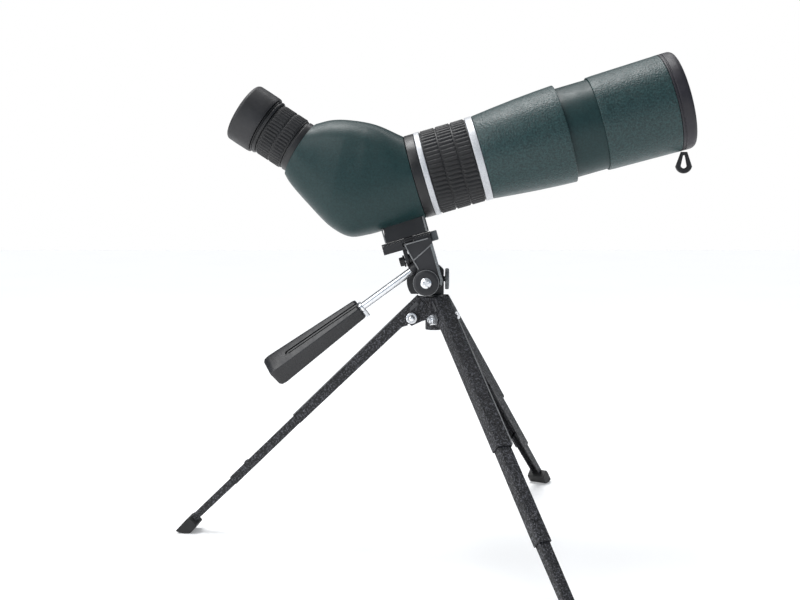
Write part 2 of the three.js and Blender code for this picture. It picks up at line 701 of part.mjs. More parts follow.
function scope() {
  const loop = node('cap_pull_loop', capLoop(), blackRubber);
  loop.rotation.y = SCOPE_PITCH;
  loop.position.set(X_CAP + 2.4, 0, -HOOD_RADIUS.front - GAP - 0.7);
  const insert = tube(FOOT.bottom + 0.2, -33, CAMERA_SCREW.stud + 0.35, 4.5, 24)
    .translate(CAMERA_SCREW.x, 0, 0);
  return [
    node('prism_housing', prismHousing(), greenArmour),
    ...prismPieces(),
    ...trimRings(),
    node('focus_ring', focusRing(), blackRubber),
    node('main_barrel', mainBarrel(), greenArmour),
    node('front_tube', frontTube(), greenArmour),
    ...bodyOptics(),
    node('sliding_hood', slidingHood(), greenArmour),
    node('objective_cap', objectiveCap(), blackPlastic),
    loop,
    eyepiece(),
    node('mounting_foot', mountingFoot(), blackPlastic),
    node('foot_thread_insert', insert, brass),
  ];
}

function tiltingAssembly() {
  const lug = box(PLATFORM.x1 + 0.3, -4.4, -4, 4, PLATFORM.bottom + 0.2, FOOT.bottom - 0.5);
  const inScope = group(
    ...scope(),
    node('platform', platform(), blackPlastic),
    node('platform_pad', platformPad(), blackRubber),
    node('platform_stop_lug', lug, headGrey),
    node('camera_screw', cameraScrew(), blackPlastic),
    ...flipClamp(),
    ...tiltPieces(),
    handle(),
  );
  inScope.position.set(-TILT_IN_SCOPE.x, 0, -TILT_IN_SCOPE.z);
  const tilted = group(inScope);
  tilted.position.set(TILT_AXIS.x, 0, TILT_AXIS.z);
  tilted.rotation.y = -SCOPE_PITCH;
  return tilted;
}

const head = group(
  tiltingAssembly(),
  node('pan_base', panBase(), blackPlastic),
  node('pan_lock_knob', panLockKnob(), headGrey),
);
head.rotation.z = HEAD_YAW;

const assembly = group(
  head,
  node('tripod_crown', crown(), powderCoat),
  ...LEG_NAMES.map((name, i) => leg(name, LEG_AZIMUTHS[i])),
);

// The origin goes under the middle of the bounding box.
assembly.updateMatrixWorld(true);
const bounds = new THREE.Box3().setFromObject(assembly, true);
const middle = bounds.getCenter(new THREE.Vector3());
assembly.position.set(-middle.x, -middle.y, -bounds.min.z);

export default group(assembly);
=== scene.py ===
"""The looks of an angled spotting scope on its table-top tripod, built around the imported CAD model.

Each visible piece is modelled again with fine geometry in the place of its CAD node. Lengths below are in
millimetres in the local frame of the piece: scope, eyepiece, handle, panning head or leg. Those frames come
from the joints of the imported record.
"""

import json
import math

import bmesh
import bpy
from mathutils import Matrix, Vector


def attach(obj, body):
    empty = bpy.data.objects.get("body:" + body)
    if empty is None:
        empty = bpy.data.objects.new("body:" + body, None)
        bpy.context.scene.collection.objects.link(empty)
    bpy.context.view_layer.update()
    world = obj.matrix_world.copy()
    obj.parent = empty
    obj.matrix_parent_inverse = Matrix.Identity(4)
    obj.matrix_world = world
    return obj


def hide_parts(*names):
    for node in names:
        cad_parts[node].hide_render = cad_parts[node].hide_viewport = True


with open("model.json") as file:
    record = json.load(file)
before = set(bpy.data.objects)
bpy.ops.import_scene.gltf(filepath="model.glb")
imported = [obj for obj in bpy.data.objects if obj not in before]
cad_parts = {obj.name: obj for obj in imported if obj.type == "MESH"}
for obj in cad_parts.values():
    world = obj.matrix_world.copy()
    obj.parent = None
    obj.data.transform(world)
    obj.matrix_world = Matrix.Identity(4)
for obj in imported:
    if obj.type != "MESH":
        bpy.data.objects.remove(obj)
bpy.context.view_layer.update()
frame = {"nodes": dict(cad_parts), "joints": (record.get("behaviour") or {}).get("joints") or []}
JOINTS = {joint["name"]: joint for joint in frame["joints"]}

MM = 0.001
TAU = math.tau
FINE = 128                      # facets round a large ring
RIB_FACETS = 8                  # facets across one rib of a ribbed ring
TOOTH_FACETS = 6                # facets across one tooth of a knurl
SMALL = 40                      # facets round a bolt or knob
LEGS = ("left", "front", "back")
TILT_X, TILT_Z = -21.3, -76.5   # the tilt pivot in the scope's frame
ZOOM_HEIGHT = 15                # the zoom joint's height in the eyepiece's frame
SHARP = math.radians(32)        # edges sharper than this stay crisp, or are bevelled
RIB_SHARP = math.radians(40)    # the same for the ribbed rings

# ------------------------------------------------------------------ local frames


def axes_frame(origin, x, y):
    """A frame at origin (metres) whose x and y are these directions."""
    x, y = Vector(x).normalized(), Vector(y).normalized()
    z = x.cross(y)
    return Matrix((
        (x.x, y.x, z.x, origin[0]),
        (x.y, y.y, z.y, origin[1]),
        (x.z, y.z, z.z, origin[2]),
        (0, 0, 0, 1),
    ))


def joint_axis(name):
    return Vector(JOINTS[name]["axis"])


def joint_place(name):
    return Vector(JOINTS[name]["pos_m"])


def scope_frame():
    """x along the optical axis, z up from it, with its origin in the middle of the rear trim ring."""
    x = joint_axis("focus")
    y = -joint_axis("tilt")
    z = x.cross(y)
    origin = joint_place("tilt") - (TILT_X * x + TILT_Z * z) * MM
    return axes_frame(origin, x, y)


def eyepiece_frame():
    z = joint_axis("zoom")
    y = -joint_axis("tilt")
    origin = joint_place("zoom") - ZOOM_HEIGHT * MM * z
    return axes_frame(origin, y.cross(z), y)


def handle_frame():
    z = joint_axis("handle_twist")
    y = -joint_axis("tilt")
    return axes_frame(joint_place("handle_twist"), y.cross(z), y)


def pan_frame():
    place = joint_place("pan")
    x = joint_axis("pan_knob_turn")
    return axes_frame((place.x, place.y, 0), x, Vector((0, 0, 1)).cross(x))


def leg_frame(name):
    x = joint_axis(f"{name}_middle_slide")
    return axes_frame(joint_place(f"{name}_leg_fold"), x, joint_axis(f"{name}_leg_fold"))


SCOPE = scope_frame()
EYEPIECE = eyepiece_frame()
HANDLE = handle_frame()
PAN = pan_frame()
LEG = {name: leg_frame(name) for name in LEGS}

# ------------------------------------------------------------------ mesh helpers


def solid(verts, faces):
    bm = bmesh.new()
    made = [bm.verts.new(v) for v in verts]
    for face in faces:
        bm.faces.new([made[i] for i in face])
    bmesh.ops.remove_doubles(bm, verts=bm.verts, dist=1e-4)
    bmesh.ops.recalc_face_normals(bm, faces=bm.faces)
    return bm


def rounded(points, radius, steps=4):
    """A closed outline with its corners rounded. A point may carry its own radius as a third number."""
    made = []
    count = len(points)
    for i, point in enumerate(points):
        corner = Vector(point[:2])
        before = Vector(points[i - 1][:2])
        after = Vector(points[(i + 1) % count][:2])
        wish = point[2] if len(point) > 2 else radius
        reach = min(wish, 0.45 * (before - corner).length, 0.45 * (after - corner).length)
        if reach < 1e-6:
            made.append(tuple(corner))
            continue
        start = corner + (before - corner).normalized() * reach
        end = corner + (after - corner).normalized() * reach
        for step in range(steps + 1):
            t = step / steps
            made.append(tuple((1 - t) ** 2 * start + 2 * t * (1 - t) * corner + t * t * end))
    return made


def arc(cx, cy, radius, start, end, steps):
    """Points along an arc, in degrees."""
    angles = [math.radians(start + (end - start) * i / steps) for i in range(steps + 1)]
    return [(cx + radius * math.cos(a), cy + radius * math.sin(a)) for a in angles]


def turned(outline, facets=FINE, shape=None):
    """A closed outline of (z, radius) turned about z. shape(z, radius, angle) gives a carved radius."""
    verts, faces = [], []
    count = len(outline)
    for i in range(facets):
        angle = TAU * i / facets
        for z, r in outline:
            radius = shape(z, r, angle) if shape else r
            verts.append((radius * math.cos(angle), radius * math.sin(angle), z))
    for i in range(facets):
        a, b = i * count, (i + 1) % facets * count
        for k in range(count):
            m = (k + 1) % count
            faces.append((a + k, b + k, b + m, a + m))
    return solid(verts, faces)


def ring(z0, z1, inner, outer, edge=0.3, facets=FINE):
    return turned(rounded([(z0, inner), (z0, outer), (z1, outer), (z1, inner)], edge), facets)


def rod(z0, z1, radius, edge=0.3, facets=SMALL):
    return turned(rounded([(z0, 0, 0), (z0, radius), (z1, radius), (z1, 0, 0)], edge), facets)


def loft(rings, closed=False):
    """Skins a list of rings with the same number of points, and fills both ends unless it is closed."""
    count = len(rings[0])
    verts = [point for one in rings for point in one]
    faces = []
    last = len(rings) if closed else len(rings) - 1
    for i in range(last):
        a, b = i * count, (i + 1) % len(rings) * count
        for j in range(count):
            k = (j + 1) % count
            faces.append((a + j, b + j, b + k, a + k))
    if not closed:
        faces.append(tuple(range(count)))
        faces.append(tuple(range((len(rings) - 1) * count, len(rings) * count)))
    return solid(verts, faces)


def plate(outline, y0, y1):
    """An outline in the xz plane, y0 to y1 thick."""
    return loft([[(x, y, z) for x, z in outline] for y in (y0, y1)])


def moved(bm, matrix):
    bmesh.ops.transform(bm, matrix=matrix, verts=bm.verts)
    return bm


def along_x(bm):
    return moved(bm, Matrix.Rotation(math.pi / 2, 4, "Y"))


def along_y(bm):
    return moved(bm, Matrix.Rotation(-math.pi / 2, 4, "X"))


def shifted(bm, x, y, z):
    return moved(bm, Matrix.Translation((x, y, z)))


def joined(*parts):
    """Several closed shapes as one bmesh."""
    whole = bmesh.new()
    for part in parts:
        mesh = bpy.data.meshes.new("part")
        part.to_mesh(mesh)
        part.free()
        whole.from_mesh(mesh)
        bpy.data.meshes.remove(mesh)
    return whole


def mark_smooth(mesh, limit):
    """Smooth shading, except across edges sharper than the limit."""
    bm = bmesh.new()
    bm.from_mesh(mesh)
    for face in bm.faces:
        face.smooth = True
    for edge in bm.edges:
        edge.smooth = len(edge.link_faces) == 2 and edge.calc_face_angle(0) < limit
    bm.to_mesh(mesh)
    bm.free()


def carved(bm, *cutters):
    """The shape with the cutters taken away."""
    scene = bpy.context.scene
    mesh = bpy.data.meshes.new("base")
    bm.to_mesh(mesh)
    bm.free()
    base = bpy.data.objects.new("base", mesh)
    scene.collection.objects.link(base)
    tools = []
    for cutter in cutters:
        data = bpy.data.meshes.new("tool")
        cutter.to_mesh(data)
        cutter.free()
        tool = bpy.data.objects.new("tool", data)
        scene.collection.objects.link(tool)
        tools.append(tool)
        modifier = base.modifiers.new("cut", "BOOLEAN")
        modifier.operation = "DIFFERENCE"
        modifier.solver = "EXACT"
        modifier.object = tool
    bpy.context.view_layer.update()
    evaluated = base.evaluated_get(bpy.context.evaluated_depsgraph_get())
    made = bmesh.new()
    made.from_mesh(evaluated.to_mesh())
    evaluated.to_mesh_clear()
    for obj in (base, *tools):
        data = obj.data
        bpy.data.objects.remove(obj)
        bpy.data.meshes.remove(data)
    return made


def piece(name, bm, place, body, material, slot, replaces=(), bevel=0, smooth=SHARP):
    """A finished piece: its millimetres become metres in the frame place, and it rides on the body."""
    mesh = bpy.data.meshes.new(name)
    bmesh.ops.transform(bm, matrix=Matrix.Scale(MM, 4), verts=bm.verts)
    bm.to_mesh(mesh)
    bm.free()
    mark_smooth(mesh, smooth)
    obj = bpy.data.objects.new(name, mesh)
    bpy.context.scene.collection.objects.link(obj)
    obj.matrix_world = place
    if bevel:
        modifier = obj.modifiers.new("edges", "BEVEL")
        modifier.width = bevel * MM
        modifier.segments = 3
        modifier.limit_method = "ANGLE"
        modifier.angle_limit = SHARP
        modifier.use_clamp_overlap = True
        modifier.harden_normals = False
    mesh.materials.append(material)
    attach(obj, body)
    if replaces:
        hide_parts(*replaces)
    return obj


def fine(node, bm, place, body, material, slot, **more):
    """The fine piece that takes the place of one CAD node."""
    return piece(f"{node}_fine", bm, place, body, material, slot, replaces=(node,), **more)


def in_scope(node, bm, material, slot, body="scope", **more):
    return fine(node, bm, SCOPE, body, material, slot, **more)


def in_eyepiece(node, bm, material, slot, body="scope", **more):
    return fine(node, bm, EYEPIECE, body, material, slot, **more)


# ------------------------------------------------------------------ materials


class Shader:
    """A small builder for one node material. Texture coordinates are the piece's own, in metres."""

    def __init__(self, name, color, roughness, metallic=0.0, specular=0.5, coat=0.0, coat_roughness=0.1):
        self.material = bpy.data.materials.new(name)
        self.material.use_nodes = True
        self.tree = self.material.node_tree
        self.bsdf = self.tree.nodes["Principled BSDF"]
        self.bsdf.inputs["Base Color"].default_value = (*color, 1)
        self.bsdf.inputs["Roughness"].default_value = roughness
        self.bsdf.inputs["Metallic"].default_value = metallic
        self.bsdf.inputs["Specular IOR Level"].default_value = specular
        self.bsdf.inputs["Coat Weight"].default_value = coat
        self.bsdf.inputs["Coat Roughness"].default_value = coat_roughness
        self.coordinates = self.node("ShaderNodeTexCoord").outputs["Object"]
        self.normal = None

    def node(self, kind, **settings):
        made = self.tree.nodes.new(kind)
        for key, value in settings.items():
            setattr(made, key, value)
        return made

    def link(self, a, b):
        self.tree.links.new(a, b)

    def noise(self, scale, detail=3, roughness=0.55):
        made = self.node("ShaderNodeTexNoise")
        made.inputs["Scale"].default_value = scale
        made.inputs["Detail"].default_value = detail
        made.inputs["Roughness"].default_value = roughness
        self.link(self.coordinates, made.inputs["Vector"])
        return made.outputs["Fac"]

    def cells(self, scale):
        """Rounded grains, as the distance from each grain's middle."""
        made = self.node("ShaderNodeTexVoronoi", feature="SMOOTH_F1")
        made.inputs["Scale"].default_value = scale
        self.link(self.coordinates, made.inputs["Vector"])
        return made.outputs["Distance"]

    def ranged(self, value, low, high, to_low, to_high):
        made = self.node("ShaderNodeMapRange")
        settings = {"From Min": low, "From Max": high, "To Min": to_low, "To Max": to_high}
        for name, number in settings.items():
            made.inputs[name].default_value = number
        self.link(value, made.inputs["Value"])
        return made.outputs["Result"]

    def tint(self, value, low_color, high_color, low=0.35, high=0.65):
        """The base colour runs from one colour to the other with the value."""
        ramp = self.node("ShaderNodeValToRGB")
        ramp.color_ramp.elements[0].position = low
        ramp.color_ramp.elements[0].color = (*low_color, 1)
        ramp.color_ramp.elements[1].position = high
        ramp.color_ramp.elements[1].color = (*high_color, 1)
        self.link(value, ramp.inputs["Fac"])
        self.link(ramp.outputs["Color"], self.bsdf.inputs["Base Color"])

    def roughen(self, value, low, high):
        self.link(self.ranged(value, 0.3, 0.7, low, high), self.bsdf.inputs["Roughness"])

    def bump(self, height, strength, distance_mm):
        made = self.node("ShaderNodeBump")
        made.inputs["Strength"].default_value = strength
        made.inputs["Distance"].default_value = distance_mm * MM
        self.link(height, made.inputs["Height"])
        if self.normal:
            self.link(self.normal, made.inputs["Normal"])
        self.normal = made.outputs["Normal"]
        self.link(self.normal, self.bsdf.inputs["Normal"])


def shade(color, factor):
    return tuple(min(1.0, c * factor) for c in color)


def armour_paint(name, pebble, color=(0.0145, 0.038, 0.039), specular=0.4):
    """Dark green rubberised paint, finely pebbled where pebble is above 0."""
    made = Shader(name, color, 0.4, specular=specular)
    spread = 0.12 + 0.35 * pebble
    light = shade(color, 1 + 1.4 * spread)
    made.tint(made.noise(750, 4, 0.75), shade(color, 1 - spread), light, 0.38, 0.62)
    made.roughen(made.noise(160, 4), 0.34, 0.46)
    if pebble:
        made.bump(made.cells(900), pebble, 0.3)
    made.bump(made.noise(2600, 2), 0.12, 0.05)
    made.bump(made.noise(60, 2), 0.1, 0.4)
    return made.material


def black_moulding(name, color, roughness, grain, grain_scale=1800, specular=0.45):
    """Black rubber or plastic with a fine moulded grain and faint handling marks."""
    made = Shader(name, color, roughness, specular=specular)
    made.tint(made.noise(55, 4), shade(color, 0.8), shade(color, 1.35))
    made.roughen(made.noise(220, 4), roughness - 0.07, roughness + 0.09)
    made.bump(made.noise(grain_scale, 3, 0.7), grain, 0.08)
    return made.material


def satin_metal(name, color, roughness):
    """Silver trim with a fine blasted grain."""
    made = Shader(name, color, roughness, metallic=0.35, specular=0.5)
    grain = made.noise(1400, 4, 0.7)
    made.tint(grain, shade(color, 0.8), shade(color, 1.15))
    made.roughen(grain, roughness - 0.08, roughness + 0.1)
    made.bump(grain, 0.3, 0.06)
    return made.material


def polished_metal(name, color=(0.8, 0.81, 0.83), roughness=0.14):
    made = Shader(name, color, roughness, metallic=0.85)
    smear = made.noise(300, 4)
    made.tint(made.noise(120, 4), shade(color, 0.9), shade(color, 1.05))
    made.roughen(smear, roughness - 0.04, roughness + 0.1)
    made.bump(made.noise(1500, 2), 0.05, 0.02)
    return made.material


def powder_coat(name, color=(0.0105, 0.0105, 0.012)):
    """Granular black coat on the tripod's sheet steel."""
    made = Shader(name, color, 0.5, specular=0.4)
    grains = made.cells(1100)
    made.tint(made.noise(900, 3, 0.7), shade(color, 0.4), shade(color, 10), 0.5, 0.66)
    made.roughen(made.noise(500, 3), 0.36, 0.64)
    made.bump(grains, 1.0, 0.5)
    made.bump(made.noise(2400, 2), 0.4, 0.12)
    return made.material


def grey_plastic(name, color=(0.13, 0.14, 0.145)):
    made = Shader(name, color, 0.45)
    made.tint(made.noise(900, 4, 0.7), shade(color, 0.7), shade(color, 1.35))
    made.roughen(made.noise(260, 4), 0.38, 0.55)
    made.bump(made.noise(1600, 3), 0.3, 0.08)
    return made.material


def coated_glass(name, color, roughness=0.02):
    made = Shader(name, color, roughness, specular=0.8, coat=0.6, coat_roughness=0.02)
    made.bsdf.inputs["Transmission Weight"].default_value = 0.55
    made.bsdf.inputs["IOR"].default_value = 1.52
    dust = made.noise(700, 5, 0.8)
    made.tint(dust, shade(color, 0.92), shade(color, 1.1))
    made.roughen(dust, roughness, roughness + 0.05)
    return made.material


def brass_metal(name, color=(0.55, 0.4, 0.16)):
    return polished_metal(name, color, 0.3)


ARMOUR = armour_paint("armour_pebbled", 0.8)
ARMOUR_SMOOTH = armour_paint("armour_smooth", 0.14, (0.009, 0.029, 0.03), 0.3)
RUBBER = black_moulding("rubber_ribbed", (0.009, 0.009, 0.01), 0.5, 0.35)
RUBBER_SMOOTH = black_moulding("rubber_smooth", (0.012, 0.012, 0.0135), 0.48, 0.3, 1500)
PLASTIC = black_moulding("plastic_satin", (0.011, 0.011, 0.012), 0.36, 0.25)
CAST = black_moulding("head_casting", (0.016, 0.016, 0.018), 0.5, 0.5, 1100)
CAP = black_moulding("cap_moulding", (0.0135, 0.012, 0.0165), 0.46, 0.3, 1500)
SHOE_RUBBER = black_moulding("shoe_rubber", (0.01, 0.01, 0.01), 0.6, 0.4, 1200)
SILVER = satin_metal("trim_satin", (0.56, 0.57, 0.59), 0.42)
CHROME = polished_metal("chrome_polished")
GRIP = black_moulding("grip_plastic", (0.012, 0.012, 0.0135), 0.28, 0.2, specular=0.5)
# Light grey that paints the highlights along raised edges: the foot's ribs, the cheek's ridges, the tilt
# disc's rim and the legs' lips
EDGE_HIGHLIGHT_GREY = grey_plastic("painted_highlight_grey", (0.17, 0.172, 0.175))
COAT_EDGE = grey_plastic("coat_edge", (0.05, 0.05, 0.053))
COAT = powder_coat("tripod_coat")
GREY = grey_plastic("head_grey_satin")
GLASS = coated_glass("glass_coated", (0.1, 0.08, 0.16))
BRASS = brass_metal("insert_brass")

# ------------------------------------------------------------------ scope body

BODY_RADIUS = 31
BODY_INNER = 28.5               # the bore of the rings round the body
TRIM_RADIUS = 31.3
X_HOUSING = -8.8
X_CONE = 42.4
X_CONE_END = 104.3
X_HOOD = 128.5
X_CAP = 180.8
X_CAP_FRONT = 191.2


def through(points, count):
    """A smooth centripetal path through the points, as evenly spaced points."""
    pts = [Vector(p) for p in points]
    pts = [2 * pts[0] - pts[1], *pts, 2 * pts[-1] - pts[-2]]
    dense = []
    for i in range(1, len(pts) - 2):
        p = pts[i - 1:i + 3]
        t = [0.0]
        for a, b in zip(p, p[1:]):
            t.append(t[-1] + (b - a).length ** 0.5)
        for step in range(40):
            u = t[1] + (t[2] - t[1]) * step / 40
            level = p
            for depth in range(1, 4):
                level = [
                    level[j] * ((t[j + depth] - u) / (t[j + depth] - t[j]))
                    + level[j + 1] * ((u - t[j]) / (t[j + depth] - t[j]))
                    for j in range(len(level) - 1)
                ]
                if depth == 2:
                    middle = level
            a, b = middle
            dense.append(a * ((t[2] - u) / (t[2] - t[1])) + b * ((u - t[1]) / (t[2] - t[1])))
    dense.append(pts[-2])
    lengths = [0.0]
    for a, b in zip(dense, dense[1:]):
        lengths.append(lengths[-1] + (b - a).length)
    made = []
    j = 0
    for i in range(count):
        want = lengths[-1] * i / (count - 1)
        while j < len(lengths) - 2 and lengths[j + 1] < want:
            j += 1
        span = lengths[j + 1] - lengths[j]
        made.append(dense[j].lerp(dense[j + 1], (want - lengths[j]) / span))
    return made


HOUSING_TOP = [(X_HOUSING - 0.1, 30.8), (-26.6, 45.2), (-46.3, 54.5), (-57, 57.3), (-67.4, 57.8)]
HOUSING_BOTTOM = [
    (X_HOUSING - 0.1, -30.8), (-32, -31), (-54, -31), (-67, -28.8), (-77.9, -19), (-90.3, 3),
    (-99.4, 22.6), (-100.9, 28.7),
]
HOUSING_HALF_WIDTH = [30.8, 30.6, 29.6, 27.5, 24, 21]


def housing_rings(offset, sections, points):
    top = through(HOUSING_TOP, sections)
    bottom = through(HOUSING_BOTTOM, sections)
    rings = []
    for i in range(sections):
        part = i / (sections - 1)
        centre = (top[i] + bottom[i]) / 2
        up = (top[i] - bottom[i]) / 2
        tall = up.length + offset
        up.normalize()
        place = part * (len(HOUSING_HALF_WIDTH) - 1)
        k = min(int(place), len(HOUSING_HALF_WIDTH) - 2)
        low, high = HOUSING_HALF_WIDTH[k:k + 2]
        wide = low + (high - low) * (place - k) + offset
        power = 2 / (2 + 0.5 * math.sin(math.pi * part))
        one = []
        for j in range(points):
            angle = TAU * j / points
            c = math.copysign(abs(math.cos(angle)) ** power, math.cos(angle))
            s = math.copysign(abs(math.sin(angle)) ** power, math.sin(angle))
            one.append((centre.x + up.x * tall * c, wide * s, centre.y + up.y * tall * c))
        rings.append(one)
    return rings


def prism_housing():
    outer = housing_rings(0, 60, 112)
    inner = housing_rings(-2.4, 16, 112)
    return loft([*outer, *reversed(inner)], closed=True)


def ribs(count, depth, bands):
    """A radius function: ribs run along the axis in bands half a rib apart, with a groove between bands."""
    def shape(z, r, angle):
        for i, (low, high) in enumerate(bands):
            if low <= z <= high:
                turn = (angle / TAU * count + i * 0.5) % 1
                wave = 0.5 + 0.5 * math.cos(TAU * turn)
                edge = min(1, (z - low) / 0.5, (high - z) / 0.5)
                return r - depth + depth * min(1, 1.6 * wave) * max(0, edge)
        return r
    return shape


def ribbed_outline(z0, z1, inner, outer, bands, depth):
    """The ring's outline with enough points along each band to shape the ribs' ends."""
    points = [(z0, inner), (z0, outer - depth)]
    for low, high in bands:
        points += [(low, outer), (low + 0.25, outer), (low + 0.5, outer)]
        points += [(low + (high - low) * part, outer) for part in (0.25, 0.5, 0.75)]
        points += [(high - 0.5, outer), (high - 0.25, outer), (high, outer)]
        if high != bands[-1][1]:
            points += [(high + 0.05, outer - depth), (high + 0.5, outer - depth)]
    return [*points, (z1, outer - depth), (z1, inner)]


def focus_ring():
    count, depth = 57, 0.9
    bands = [(3.4, 14.2), (14.9, 25.6), (26.3, 36.4)]
    outline = ribbed_outline(3.0, 36.9, BODY_INNER, BODY_RADIUS, bands, depth)
    return along_x(turned(outline, count * RIB_FACETS, ribs(count, depth, bands)))


def zoom_ring():
    count, depth = 48, 0.7
    bands = [(5.9, 14.6), (15.4, 25.2)]
    outline = ribbed_outline(5.0, 26.4, 16.2, 20.4, bands, depth)
    return turned(outline, count * RIB_FACETS, ribs(count, depth, bands))


def body_ring(x0, x1, radius):
    """A plain ring round the body."""
    return along_x(ring(x0, x1, BODY_INNER, radius, 0.5))


def main_barrel():
    outer = [(X_CONE + 0.3, 31, 0.3), (58, 32.6), (74, 34.1), (90, 35.25), (X_CONE_END, 36, 0.7)]
    inner = [(X_CONE_END, 33.3, 0.2), (98.3, 33.3), (73.4, 30.8), (46.4, 25.8), (-8.5, 25.8), (-8.5, 28.2)]
    return along_x(turned(rounded([*outer, *inner, (X_CONE + 0.3, 28.2)], 0.3)))


def front_tube():
    return along_x(turned(rounded([
        (98.8, 30.9), (98.8, 33), (157.5, 33), (157.5, 30.9),
    ], 0.4)))


def sliding_hood():
    return along_x(turned(rounded([
        (X_HOOD, 33.3, 0.2), (X_HOOD, 34.2, 0.4), (133, 34.45), (176.5, 35.35), (X_CAP - 0.3, 35.5, 0.3),
        (X_CAP - 0.3, 33.3, 0.2),
    ], 0.3)))


def objective_cap():
    return along_x(turned(rounded([
        (X_CAP_FRONT, 0, 0), (X_CAP_FRONT, 27, 2), (X_CAP_FRONT - 0.6, 28, 1), (X_CAP_FRONT - 0.6, 31, 1),
        (X_CAP_FRONT, 32, 1), (X_CAP_FRONT - 0.2, 34.2, 2), (X_CAP_FRONT - 2.4, 35.5, 1.5),
        (183.2, 35.5, 0.2), (183, 35.1, 0.2), (182.4, 35.1, 0.2), (182.2, 35.5, 0.2),
        (X_CAP, 35.5, 0.3), (X_CAP, 33), (X_CAP - 5, 33), (X_CAP - 5, 31.4), (188.2, 31.4), (188.2, 0, 0),
    ], 0.4)))


def shrunk(outline, centre, inset):
    """The outline moved towards its centre by the inset, or away from it when the inset is negative."""
    made = []
    for point in outline:
        offset = (Vector(centre) - Vector(point)).normalized() * inset
        made.append((point[0] + offset.x, point[1] + offset.y))
    return made


def pull_loop():
    """A soft drop-shaped loop whose cord-like section is rounded on both faces."""
    outer = [(-2.2, 0), *arc(0, -9.6, 6, 190, 350, 24), (2.2, 0)]
    inner = [(-0.7, -2.6), *arc(0, -9.6, 2.2, 190, 350, 24), (0.7, -2.6)]
    centre = (0, -8)
    faces = ((-1.6, 0.7), (-1.2, 0.15), (0, 0), (1.2, 0.15), (1.6, 0.7))
    rings = [(y, shrunk(outer, centre, inset)) for y, inset in faces]
    rings += [(y, shrunk(inner, centre, -inset)) for y, inset in reversed(faces)]
    return loft([[(x, y, z) for x, z in outline] for y, outline in rings], closed=True)


def lens(z0, z1, radius, bulge0, bulge1):
    steps = 12
    low = [(z0 - bulge0 * (1 - (i / steps) ** 2), radius * i / steps) for i in range(steps + 1)]
    high = [(z1 + bulge1 * (1 - (i / steps) ** 2), radius * i / steps) for i in range(steps, -1, -1)]
    return turned([*low, *high], 72)


def build_body():
    in_scope("prism_housing", prism_housing(), ARMOUR_SMOOTH, "green_armour")
    in_scope("rear_body_ring", body_ring(-8.5, -1.5, BODY_RADIUS), PLASTIC, "black_plastic")
    in_scope("rear_trim_ring", body_ring(-1.2, 2.7, TRIM_RADIUS), SILVER, "trim_silver")
    in_scope("focus_ring", focus_ring(), RUBBER, "black_rubber", body="focus_ring", smooth=RIB_SHARP)
    in_scope("front_trim_ring", body_ring(37.2, X_CONE, TRIM_RADIUS), SILVER, "trim_silver")
    in_scope("main_barrel", main_barrel(), ARMOUR, "green_armour")
    in_scope("front_tube", front_tube(), ARMOUR_SMOOTH, "green_armour")
    in_scope("sliding_hood", sliding_hood(), ARMOUR, "green_armour", body="hood")
    in_scope("objective_cap", objective_cap(), CAP, "black_rubber", body="cap")
    in_scope("objective_doublet", along_x(lens(143.5, 150, 29.6, -1, 2.4)), GLASS, "optical_glass")
    down = Vector((0, 0, 1))
    loop_top = SCOPE @ (Vector((X_CAP + 2.4, 0, -36.5)) * MM)
    side = SCOPE.to_3x3() @ Vector((0, 1, 0))
    hanging = axes_frame(loop_top, side.cross(down), side)
    fine("cap_pull_loop", pull_loop(), hanging, "cap", PLASTIC, "black_rubber")


# ------------------------------------------------------------------ eyepiece


def eyecup():
    return turned(rounded([
        (30.7, 18.5), (30.7, 22.3, 0.5), (32.5, 22.6), (40, 22.7), (48.6, 22.6, 1.2), (50.2, 21.4, 1),
        (50.4, 18.6, 1), (49.6, 17.2, 1), (45, 15, 1), (43.2, 15), (43.2, 18.5),
    ], 0.4))


def build_eyepiece():
    collar = turned(rounded([
        (-4.5, 16.1), (-4.5, 18.2), (-0.9, 18.2), (-0.9, 19.9), (3.2, 19.9), (3.4, 19.2), (4.7, 19.2),
        (4.7, 16.1),
    ], 0.25))
    sleeve = turned(rounded([
        (26.7, 16.1), (26.7, 20.6), (27.7, 21.3), (28.4, 21.3), (28.7, 20.2), (29.4, 20.2), (29.6, 21.1),
        (30.3, 21.1), (30.3, 18.2), (42, 18.2), (42, 16.1),
    ], 0.2))
    in_eyepiece("eyepiece_collar", collar, PLASTIC, "black_plastic")
    in_eyepiece("zoom_ring", zoom_ring(), RUBBER, "black_rubber", body="zoom_ring", smooth=RIB_SHARP)
    in_eyepiece("eyecup_sleeve", sleeve, PLASTIC, "black_plastic")
    in_eyepiece("eyecup", eyecup(), RUBBER_SMOOTH, "black_rubber", body="eyecup")
    in_eyepiece("eyepiece_barrel", ring(-10, 39, 13.9, 15.8, 0.3), PLASTIC, "black_plastic")
    in_eyepiece("eye_lens", lens(33, 36, 13.6, 0.8, 1.2), GLASS, "optical_glass")


# ------------------------------------------------------------------ foot, platform and tilting head

FLIP_Z = -57.3
DECK = (-45.5, -9.3, -12, 12)   # x and y limits of the platform and its pad
ARM = (-32.1, -29.6)            # x limits of the platform's down-turned arm
SCREW_X = -26
NEAR_Y = -15.3                  # the outer face of the head's near cheek
NEAR_TOP = -45.1
NEAR_BACK = [(-29.3, NEAR_TOP), (-26.2, -58.5), (-24.4, -65.5)]


def tapered_block(x0, x1, half, z0, z1, top_x0, top_x1, top_half):
    low = [(x0, -half, z0), (x1, -half, z0), (x1, half, z0), (x0, half, z0)]
    high = [
        (top_x0, -top_half, z1), (top_x1, -top_half, z1), (top_x1, top_half, z1), (top_x0, top_half, z1),
    ]
    return loft([low, high])


def block(x0, x1, y0, y1, z0, z1):
    return loft([
        [(x, y0, z0), (x, y1, z0), (x, y1, z1), (x, y0, z1)] for x in (x0, x1)
    ])


